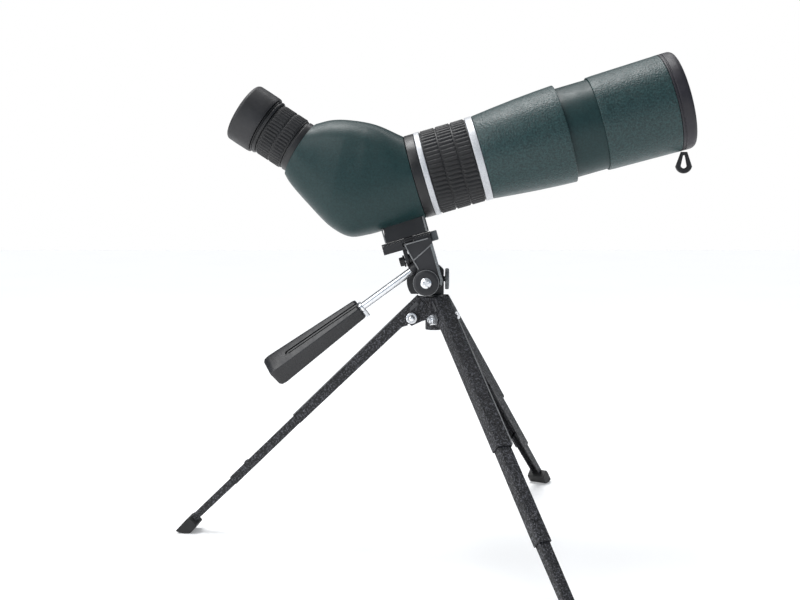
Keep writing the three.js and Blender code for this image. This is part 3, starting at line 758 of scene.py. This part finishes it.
def platform():
    deck = carved(block(*DECK, -49, -42.7), shifted(rod(-46.9, -44.1, 12.9), SCREW_X, 0, 0))
    arm = plate([
        (ARM[0], FLIP_Z), (ARM[1], FLIP_Z), (ARM[1], -48.6), (ARM[0], -48.6),
    ], -4.8, 4.8)
    lobe = along_x(rod(*ARM, 4.8, 0.3))
    return joined(deck, arm, shifted(lobe, 0, 0, FLIP_Z))


def camera_screw():
    """The knurled wheel under the deck, with its stud."""
    teeth = 60

    def knurl(z, r, angle):
        return r - 0.35 * (0.5 + 0.5 * math.cos(teeth * angle)) if r > 12 else r

    rim = [(-46.6, 0), (-46.6, 11.8), (-46.3, 12.4), (-44.7, 12.4), (-44.4, 11.8), (-44.4, 0)]
    wheel = turned(rim, teeth * TOOTH_FACETS, knurl)
    return shifted(joined(wheel, rod(-44.5, -34.5, 3.05)), SCREW_X, 0, 0)


def ridge(start, end, width, y0, y1):
    """A raised bar on the cheek from one xz point to another."""
    a, b = Vector(start), Vector(end)
    side = (b - a).orthogonal().normalized() * width / 2
    return plate([tuple(a + side), tuple(b + side), tuple(b - side), tuple(a - side)], y0, y1)


def tilt_head():
    under = arc(TILT_X, TILT_Z, 9.2, 155, 280, 18)
    chin = [(-15.3, -83.6), (-10.8, -81.4), (-9, -78)]
    cheek = [*NEAR_BACK, *under, *chin, (-9, NEAR_TOP)]
    lobe = arc(TILT_X, TILT_Z, 9.2, 155, 325, 24)
    core = [(-26.9, -54), NEAR_BACK[-1], *lobe, (-12.8, -78), (-12.8, -54)]
    far = [(-25, FLIP_Z), *arc(TILT_X, TILT_Z, 8.6, 160, 380, 24), (-12.8, FLIP_Z)]
    barrel = shifted(along_x(rod(-26.9, -12.8, 7.9, 0.5, 64)), 0, 0, FLIP_Z)
    return joined(
        plate(cheek, NEAR_Y, NEAR_Y + 1.6), plate(core, NEAR_Y + 1.5, -0.7), plate(far, 5.7, 7.9), barrel,
    )


def cheek_ridges():
    """The raised rib and the raised edges of the near cheek."""
    back = [(x + 0.5, z) for x, z in NEAR_BACK]
    top = [(-29, NEAR_TOP - 0.5), (-11, NEAR_TOP - 0.5)]
    rib = [NEAR_BACK[1], (-11, -51.2)]
    lines = [rib, back[0:2], back[1:3], top]
    return joined(*[ridge(start, end, 0.9, NEAR_Y - 0.6, NEAR_Y - 0.05) for start, end in lines])


def handle_socket():
    """The collar that the rod is pressed into, in the handle's frame."""
    return ring(-6, -0.6, 3.1, 4.3, 0.4, 64)


def cross_recess(radius, floor):
    """Two crossed bars that cut a screw's recess down to the floor height."""
    arm = radius * 0.2
    length = radius * 0.62
    return [
        block(-length, length, -arm, arm, floor, floor + 8),
        block(-arm, arm, -length, length, floor, floor + 8),
    ]


def screw_head(radius, height, shank_length, shank_radius):
    """A domed cross-head screw, its underside at z = 0 and its head above."""
    dome = [(0.5 + height * (1 - (i / 10) ** 2), radius * i / 10) for i in range(10, 0, -1)]
    shank = [(-shank_length, 0), (-shank_length, shank_radius), (0, shank_radius)]
    body = turned([(0, radius), *dome, (height + 0.5, 0), *shank], SMALL)
    return carved(body, *cross_recess(radius, height * 0.4))


def hex_nut(height, across_flats, hole):
    reach = across_flats / math.sqrt(3)
    corners = [Vector((math.cos(TAU * i / 6), math.sin(TAU * i / 6))) * reach for i in range(6)]
    steps = 8
    sides = zip(corners, corners[1:] + corners[:1])
    outside = [a.lerp(b, k / steps) for a, b in sides for k in range(steps)]
    inside = [point.normalized() * hole for point in outside]
    loops = ((outside, 0), (outside, height), (inside, height), (inside, 0))
    return loft([[(point.x, point.y, z) for point in loop] for loop, z in loops], closed=True)


def build_head():
    foot = tapered_block(-42.3, -10.6, 11, -41, -27, -40.5, -11.8, 10.4)
    in_scope("mounting_foot", foot, PLASTIC, "black_plastic", "scope", bevel=0.5)
    end_ribs = [block(-11.4, -10.1, side - 1.1, side + 1.1, -40.6, -29) for side in (-10, 10)]
    rear_ribs = [block(-42.6, -41.6, side - 0.6, side + 0.6, -40.6, -30) for side in (-10.6, 10.6)]
    ribs_shape = joined(*end_ribs, *rear_ribs)
    # The foot's ribs are drawn in light grey, which paints the highlights along them
    piece("mounting_foot_ribs", ribs_shape, SCOPE, "scope", EDGE_HIGHLIGHT_GREY, "black_plastic", bevel=0.25)
    in_scope("platform", platform(), CAST, "black_plastic", "scope", bevel=0.4)
    pad = block(*DECK, -42.5, -41.2)
    in_scope("platform_pad", pad, RUBBER_SMOOTH, "black_rubber", "scope", bevel=0.3)
    lug = block(-9, -4.4, -4, 4, -48.8, -41.5)
    in_scope("platform_stop_lug", lug, GREY, "head_grey", "scope", bevel=0.6)
    in_scope("camera_screw", camera_screw(), PLASTIC, "black_plastic", "camera_screw")
    in_scope("tilt_head", tilt_head(), CAST, "black_plastic", "tilt_body", bevel=0.35)
    # The cheek's ridges are drawn in light grey, which paints the highlight lines along them
    piece("tilt_head_ridges", cheek_ridges(), SCOPE, "tilt_body", EDGE_HIGHLIGHT_GREY, "black_plastic", bevel=0.15)
    piece("handle_socket", handle_socket(), HANDLE, "tilt_body", CAST, "black_plastic")
    strap = [(-10.9, -50.2), (-9, -50.2), (-9, -78), (-10.8, -81.4), (-12.2, -80), (-10.9, -77.4)]
    strap = plate(strap, NEAR_Y - 1.6, NEAR_Y - 0.2)
    in_scope("head_side_strap", strap, GREY, "head_grey", "tilt_body", bevel=0.3)
    build_tilt_fittings()


def build_tilt_fittings():
    back = NEAR_Y - 0.3
    face = back - 2.6
    disc = turned(rounded([
        (face, 2.4), (face, 7.6, 0.3), (face + 0.3, 8.3, 0.3), (face + 0.8, 9.4, 0.5), (back, 9.4),
        (back, 2.4),
    ], 0.3), 96)
    in_scope("tilt_disc", shifted(along_y(disc), TILT_X, 0, TILT_Z), CAST, "black_plastic", "tilt_body")
    # A thin light grey ring paints the highlight round the tilt disc's edge
    rim = shifted(along_y(ring(face + 0.7, face + 1.3, 9, 9.5, 0.2, 96)), TILT_X, 0, TILT_Z)
    piece("tilt_disc_rim", rim, SCOPE, "tilt_body", EDGE_HIGHLIGHT_GREY, "black_plastic")
    screw = moved(screw_head(3.9, 1.5, 29.8, 2), Matrix.Rotation(math.pi, 4, "X"))
    screw = shifted(along_y(shifted(screw, 0, 0, face - 0.2)), TILT_X, 0, TILT_Z)
    in_scope("tilt_screw", screw, CHROME, "chrome", "tilt_body")
    bolt = joined(along_x(rod(-36.2, -11.8, 2)), along_x(shifted(hex_nut(1.8, 6.4, 0.5), 0, 0, -12.4)))
    in_scope("flip_bolt", shifted(bolt, 0, 0, FLIP_Z), CHROME, "chrome", "tilt_body")
    washer = shifted(along_x(ring(-29.3, -27.2, 2.3, 4.4, 0.3, SMALL)), 0, 0, FLIP_Z)
    in_scope("flip_washer", washer, PLASTIC, "black_plastic", "tilt_body")
    in_scope("flip_clamp_knob", clamp_knob(), PLASTIC, "black_plastic", "clamp_knob")


def clamp_knob():
    """The small knob that locks the side flip, knurled round its rim."""
    teeth = 18

    def knurl(z, r, angle):
        return r - 0.3 * (0.5 + 0.5 * math.cos(teeth * angle)) if r > 3 else r

    outline = rounded([
        (-36.8, 2.3), (-36.8, 3.4), (-33.9, 3.4), (-33.9, 4.5), (-32.8, 4.5), (-32.8, 2.3),
    ], 0.3)
    return shifted(along_x(turned(outline, teeth * TOOTH_FACETS, knurl)), 0, 0, FLIP_Z)


# ------------------------------------------------------------------ handle


GRIP_START, GRIP_END = 46.4, 129.6        # along the rod
GRIP_NEAR = (48.2, 15.5, 13.9)            # place along the rod, height and width where its taper starts
GRIP_FAR = (124, 24.1, 20.3)              # and where it ends
SLOT_END = 110


def grip_section(z, height, width):
    return [
        (x, y, z) for x, y in rounded([
            (-height / 2, -2.6), (-height / 2, 2.6), (0, width / 2),
            (height / 2, 2.2), (height / 2, -2.2), (0, -width / 2),
        ], 0.9)
    ]


def grip_facet(z, side):
    """The middle of an upper side facet at z, and the directions along it and out of it."""
    part = (z - GRIP_NEAR[0]) / (GRIP_FAR[0] - GRIP_NEAR[0])
    height, width = (near + (far - near) * part for near, far in zip(GRIP_NEAR[1:], GRIP_FAR[1:]))
    top, edge = Vector((height / 2, 2.2 * side)), Vector((0, width / 2 * side))
    along = (edge - top).normalized()
    out = Vector((along.y, -along.x)) * side
    return (top + edge) / 2, along, out


def facet_bar(side, z0, z1, half, low, high):
    """A bar with a rounded far end that follows an upper side facet, from low to high out of it."""
    sections = []
    round_end = [(z1 + half * math.sin(a), half * math.cos(a)) for a in (0, 0.4, 0.8, 1.15, 1.45)]
    for z, reach in [(z0, half), *round_end]:
        middle, along, out = grip_facet(z, side)
        steps = ((-reach, low), (reach, low), (reach, high), (-reach, high))
        corners = [middle + along * a + out * b for a, b in steps]
        sections.append([(corner.x, corner.y, z) for corner in corners])
    return loft(sections)


def build_handle():
    grip = loft([
        grip_section(GRIP_START, 13.6, 12.0), grip_section(46.9, 14.8, 13.2), grip_section(*GRIP_NEAR),
        grip_section(*GRIP_FAR), grip_section(127.6, 23.2, 19.6), grip_section(129.2, 20.4, 17.2),
        grip_section(GRIP_END, 16, 13.5),
    ])
    slots = [facet_bar(side, GRIP_START - 1, SLOT_END, 1.5, -1.3, 2) for side in (-1, 1)]
    bars = [facet_bar(side, GRIP_START + 0.8, SLOT_END - 0.8, 0.55, -1.6, -0.25) for side in (-1, 1)]
    fine("handle_grip", joined(carved(grip, *slots), *bars), HANDLE, "handle", GRIP, "black_plastic")
    fine("handle_rod", rod(-5, 68, 2.95, 0.3, 64), HANDLE, "handle", CHROME, "chrome")
    clip = block(-8.2, -3.6, -2.2, 2.2, 43.8, 46.1)
    ferrule = joined(ring(43.8, 46.1, 3.1, 4.3, 0.5, 64), clip)
    fine("handle_ferrule", ferrule, HANDLE, "handle", CHROME, "chrome")


# ------------------------------------------------------------------ panning base and tripod


def pan_boss():
    """The round boss beside the tilting head, cut flat at its foot and at its front."""
    tilt_x, tilt_z, radius = -5.1, 194.7, 15.1
    foot_z, front_x = 185.4, 7.3
    start = math.degrees(math.asin((foot_z - tilt_z) / radius))
    front = math.degrees(math.acos((front_x - tilt_x) / radius))
    return [*arc(tilt_x, tilt_z, radius, front, 180 - start, 48), (front_x, foot_z)]


def build_pan():
    turntable = rod(183.5, 185.3, 6.2, 0.3, 64)
    shape = joined(plate(pan_boss(), -0.4, 5.4), turntable, block(-5.4, 5.4, -0.4, 2.8, 184.5, 186))
    fine("pan_base", shape, PAN, "pan_head", PLASTIC, "black_plastic", bevel=0.3)
    knob = rounded([
        (3, 0, 0), (3, 2), (8.3, 2), (8.3, 7.4), (8.9, 7.85), (10.6, 7.85), (11.2, 7.2), (11.2, 0, 0),
    ], 0.4)
    shape = shifted(along_x(turned(knob, 72)), 0, 2.5, 196.7)
    fine("pan_lock_knob", shape, PAN, "pan_knob", GREY, "head_grey")


def crown_lug():
    return plate(rounded([
        (-21, 0), (-14.2, 8.4), (-2, 8.4), (2.4, 6.6), (4.6, 2.5), (4.6, -4.2), (-3, -6.8), (-16, -13),
    ], 0.8), -4.8, 4.8)


def build_crown():
    to_pan = PAN.inverted()
    parts = [rod(159, 183.2, 6.3, 0.6, 64)]
    for name in LEGS:
        place = to_pan @ LEG[name]
        place.translation /= MM
        parts.append(moved(crown_lug(), place))
    fine("tripod_crown", joined(*parts), PAN, "crown", COAT, "powder_coat", bevel=0.3)


def channel_section(x, half, web, low, sheet, bend=1.1):
    """The U section of bent sheet, open towards -z."""
    outer = [(-half, low), (-half, web - bend)]
    outer += arc(-half + bend, web - bend, bend, 180, 90, 5)[1:]
    outer += arc(half - bend, web - bend, bend, 90, 0, 5)
    outer += [(half, low)]
    inner_bend = max(0.2, bend - sheet)
    ih = half - sheet
    inner = [(ih, low)]
    inner += arc(ih - inner_bend, web - sheet - inner_bend, inner_bend, 0, 90, 5)
    inner += arc(-ih + inner_bend, web - sheet - inner_bend, inner_bend, 90, 180, 5)
    inner += [(-ih, low)]
    return [(x, y, z) for y, z in [*outer, *inner]]


PIVOT_RADIUS = 16               # from the tripod's axis to each leg's bolt
UPPER_END, MIDDLE_END, LOWER_END = 116.6, 186.6, 230.7
LEG_SIDE = 5.9                  # half the width of the upper section
EAR_RADIUS = 5                  # the rounded ear round the leg's bolt
EAR_END = 12                    # where the ear has blended into the side's edge


def upper_low(x):
    """The lower edge of the upper section's sides: a cut corner, the ear round the bolt, then the taper."""
    taper = max(0, x) / UPPER_END
    if x < -EAR_RADIUS:
        return 1.2 * max(0, (-x - 11) / 3)
    if x <= EAR_RADIUS:
        return min(taper, -math.sqrt(max(0, EAR_RADIUS ** 2 - x * x)))
    if x < EAR_END:
        return taper - max(0, 1 - (x - EAR_RADIUS) / 5) * 2.5
    return taper


def upper_leg():
    round_ear = [EAR_RADIUS * math.sin(math.radians(angle)) for angle in range(-90, 91, 9)]
    stations = [-14, -12.5, -11, -8, -5.05, *round_ear, 6, 7, 8, 9, 10, EAR_END, 20, 50, 80, 110, UPPER_END]
    return loft([channel_section(x, LEG_SIDE, 9.5, upper_low(x), 0.8) for x in stations])


def middle_leg():
    body = loft([channel_section(x, 4.9, 8.5, 1.3, 0.7, 1.0) for x in (102, 130, 160, MIDDLE_END)])
    bulge = [(8.5 + 0.9 * math.cos(a), 2.3 * math.sin(a)) for a in (1.3, 1.0, 0.7, 0.4)]
    dimple = turned([(8.2, 0), (8.2, 2.3), *bulge, (9.4, 0)], 32)
    return joined(body, shifted(dimple, 170, 0, 0))


def lower_leg():
    sections = []
    for part in (0, 0.3, 0.6, 1):
        x = 172 + (LOWER_END - 172) * part
        sections.append(channel_section(x, 4 - 0.3 * part, 7.6, 1.5 + 0.7 * part, 0.7, 0.9))
    return loft(sections)


def shoe():
    """The rubber wedge, drawn in the leg's vertical plane, standing on z = 0."""
    side = rounded([
        (198.3, 1.6, 1.2), (193.8, 0, 1.5), (186.5, 0, 1.5), (181, 6.4, 1.5), (187.2, 12.3, 1.2),
        (189.5, 11, 1.2),
    ], 1)
    return plate(side, -8, 8)


def upright(name):
    """The leg's vertical plane: x outwards from the tripod's axis, z up from the ground."""
    y = joint_axis(f"{name}_leg_fold")
    x = y.cross(Vector((0, 0, 1)))
    place = joint_place(f"{name}_leg_fold")
    origin = Vector((place.x, place.y, 0)) - PIVOT_RADIUS * MM * x
    return axes_frame(origin, x, y)


def leg_bolt():
    """A long bolt whose head has a ring round a raised dome."""
    return turned(rounded([
        (-18.7, 0, 0), (-18.7, 2), (0, 2, 0), (0, 4.1, 0.3), (2.6, 4.1, 0.9), (2.8, 3.2, 0.2),
        (1.7, 3.1, 0.1), (1.7, 2.6, 0.1), (3.4, 2.5, 0.7), (4.9, 1.5, 1), (5.2, 0, 0),
    ], 0.2), SMALL)


def side_tab(side):
    """The small folded tab on the upper section's inner end, beside the bolt."""
    start = side * (LEG_SIDE - 0.2)
    end = side * (LEG_SIDE + 0.9)
    return block(-11.5, -3.6, min(start, end), max(start, end), 3.8, 6.4)


def edge_lip():
    """The thin rolled lip along one edge of the upper section."""
    return block(8, UPPER_END - 0.4, LEG_SIDE - 0.5, LEG_SIDE + 0.25, 8.9, 9.65)


def build_leg(name):
    place = LEG[name]
    tabs = joined(side_tab(-1), side_tab(1))
    piece(f"{name}_leg_tabs", tabs, place, f"{name}_upper", COAT_EDGE, "powder_coat", bevel=0.4)
    # The lip along the upper section's edge is drawn in light grey, which paints the highlight line on that
    # edge
    piece(f"{name}_leg_lip", edge_lip(), place, f"{name}_upper", EDGE_HIGHLIGHT_GREY, "powder_coat", bevel=0.15)
    for part, make in (("upper", upper_leg), ("middle", middle_leg), ("lower", lower_leg)):
        fine(f"{name}_leg_{part}", make(), place, f"{name}_{part}", COAT, "powder_coat")
    fine(f"{name}_leg_shoe", shoe(), upright(name), f"{name}_lower", SHOE_RUBBER, "black_rubber", bevel=0.9)
    bolt = along_y(shifted(leg_bolt(), 0, 0, LEG_SIDE + 0.3))
    fine(f"{name}_leg_bolt", bolt, place, "crown", CHROME, "chrome")
    nut = along_y(shifted(hex_nut(4.4, 7.1, 2.05), 0, 0, -LEG_SIDE - 4.8))
    fine(f"{name}_leg_nut", nut, place, "crown", CHROME, "chrome", bevel=0.3)


# ------------------------------------------------------------------ hidden CAD nodes


def dress_cad_nodes():
    looks = {
        "prism_bracket": PLASTIC, "erecting_prism": GLASS, "focus_carriage": PLASTIC, "focus_lens": GLASS,
        "objective_cell": PLASTIC, "field_lens": GLASS, "foot_thread_insert": BRASS,
    }
    for name, material in looks.items():
        materials = frame["nodes"][name].data.materials
        materials.clear()
        materials.append(material)


# ------------------------------------------------------------------ stage

CAMERA_PLACE = (-25.2, -749.0, 245.3)     # from the tripod's axis, on the ground
CAMERA_PITCH = 4.91                       # degrees below the horizon
CAMERA_LENS = 45.45
# The room that everything but the camera sees: colours by the height of the direction, and the wall behind.
ROOM = (
    (0.0, (0.42, 0.5, 0.6)), (0.1, (0.34, 0.41, 0.5)), (0.4, (0.25, 0.29, 0.33)), (0.75, (0.26, 0.28, 0.3)),
    (0.97, (0.4, 0.41, 0.43)),
)
BACK_WALL = (0.15, 0.16, 0.175)
SUN_FROM = (-0.25, 0.15, 1.0)
SUN_POWER = 2.15
TOP_PLACE = (0.05, 0.62, 1.2)
TOP_SIZE = (1.6, 0.34)
TOP_POWER = 4
LEFT_PLACE = (-0.72, -0.54, 0.86)
LEFT_SIZE = (0.6, 0.7)
LEFT_POWER = 5.2
SIDE_PLACE = (-1.15, -0.62, 0.36)
SIDE_SIZE = (0.36, 0.36)
SIDE_POWER = 2.4
FLOOR_GLOW = 0.22


def build_camera():
    data = bpy.data.cameras.new("camera")
    data.lens = CAMERA_LENS
    data.sensor_width = 36
    data.clip_start = 0.05
    data.clip_end = 50
    camera = bpy.data.objects.new("camera", data)
    axis = joint_place("pan")
    camera.location = Vector((axis.x, axis.y, 0)) + Vector(CAMERA_PLACE) * MM
    camera.rotation_euler = (math.radians(90 - CAMERA_PITCH), 0, 0)
    bpy.context.scene.collection.objects.link(camera)
    bpy.context.scene.camera = camera


def build_floor():
    mesh = bpy.data.meshes.new("floor")
    bm = bmesh.new()
    corners = [bm.verts.new((x, y, -0.0003)) for x, y in ((-6, -6), (6, -6), (6, 6), (-6, 6))]
    bm.faces.new(corners)
    bm.to_mesh(mesh)
    bm.free()
    floor = bpy.data.objects.new("floor", mesh)
    bpy.context.scene.collection.objects.link(floor)
    made = Shader("floor_paper", (0.86, 0.86, 0.86), 0.9, specular=0.2)
    made.tint(made.noise(3, 3), (0.85, 0.85, 0.85), (0.87, 0.87, 0.87))
    made.bsdf.inputs["Emission Color"].default_value = (1, 1, 1, 1)
    made.bsdf.inputs["Emission Strength"].default_value = FLOOR_GLOW
    mesh.materials.append(made.material)


def area_light(name, place, target, size, power):
    data = bpy.data.lights.new(name, "AREA")
    data.shape = "RECTANGLE"
    data.size, data.size_y = size
    data.energy = power
    light = bpy.data.objects.new(name, data)
    light.location = place
    light.rotation_euler = (Vector(target) - Vector(place)).to_track_quat("-Z", "Y").to_euler()
    bpy.context.scene.collection.objects.link(light)


def build_world():
    """White to the camera, and a dim studio with a brighter ceiling to everything else."""
    world = bpy.data.worlds.new("studio")
    world.use_nodes = True
    tree = world.node_tree
    output = tree.nodes["World Output"]
    room = tree.nodes["Background"]
    seen = tree.nodes.new("ShaderNodeBackground")
    seen.inputs["Color"].default_value = (1, 1, 1, 1)
    coordinates = tree.nodes.new("ShaderNodeTexCoord")
    split = tree.nodes.new("ShaderNodeSeparateXYZ")
    ramp = tree.nodes.new("ShaderNodeValToRGB")
    for position, color in ROOM[2:]:
        ramp.color_ramp.elements.new(position)
    for stop, (position, color) in zip(ramp.color_ramp.elements, ROOM):
        stop.position = position
        stop.color = (*color, 1)
    behind = tree.nodes.new("ShaderNodeMapRange")
    behind.inputs["From Min"].default_value = 0.0
    behind.inputs["From Max"].default_value = 0.5
    walls = tree.nodes.new("ShaderNodeMixRGB")
    walls.inputs["Color2"].default_value = (*BACK_WALL, 1)
    path = tree.nodes.new("ShaderNodeLightPath")
    mix = tree.nodes.new("ShaderNodeMixShader")
    tree.links.new(coordinates.outputs["Generated"], split.inputs["Vector"])
    tree.links.new(split.outputs["Z"], ramp.inputs["Fac"])
    tree.links.new(split.outputs["Y"], behind.inputs["Value"])
    tree.links.new(behind.outputs["Result"], walls.inputs["Fac"])
    tree.links.new(ramp.outputs["Color"], walls.inputs["Color1"])
    tree.links.new(walls.outputs["Color"], room.inputs["Color"])
    tree.links.new(path.outputs["Is Camera Ray"], mix.inputs["Fac"])
    tree.links.new(room.outputs["Background"], mix.inputs[1])
    tree.links.new(seen.outputs["Background"], mix.inputs[2])
    tree.links.new(mix.outputs["Shader"], output.inputs["Surface"])
    bpy.context.scene.world = world


def build_light():
    build_world()
    data = bpy.data.lights.new("sun", "SUN")
    data.energy = SUN_POWER
    data.angle = math.radians(30)
    sun = bpy.data.objects.new("sun", data)
    sun.rotation_euler = (Vector((0, 0, 0)) - Vector(SUN_FROM)).to_track_quat("-Z", "Y").to_euler()
    bpy.context.scene.collection.objects.link(sun)
    middle = (0, 0, 0.25)
    area_light("top", TOP_PLACE, middle, TOP_SIZE, TOP_POWER)
    area_light("left", LEFT_PLACE, (-0.08, 0, 0.16), LEFT_SIZE, LEFT_POWER)
    area_light("side", SIDE_PLACE, (-0.05, 0, 0.27), SIDE_SIZE, SIDE_POWER)
    bpy.context.scene.view_settings.view_transform = "Standard"


build_camera()
build_floor()
build_light()
build_body()
build_eyepiece()
build_head()
build_handle()
build_pan()
build_crown()
for leg in LEGS:
    build_leg(leg)
dress_cad_nodes()
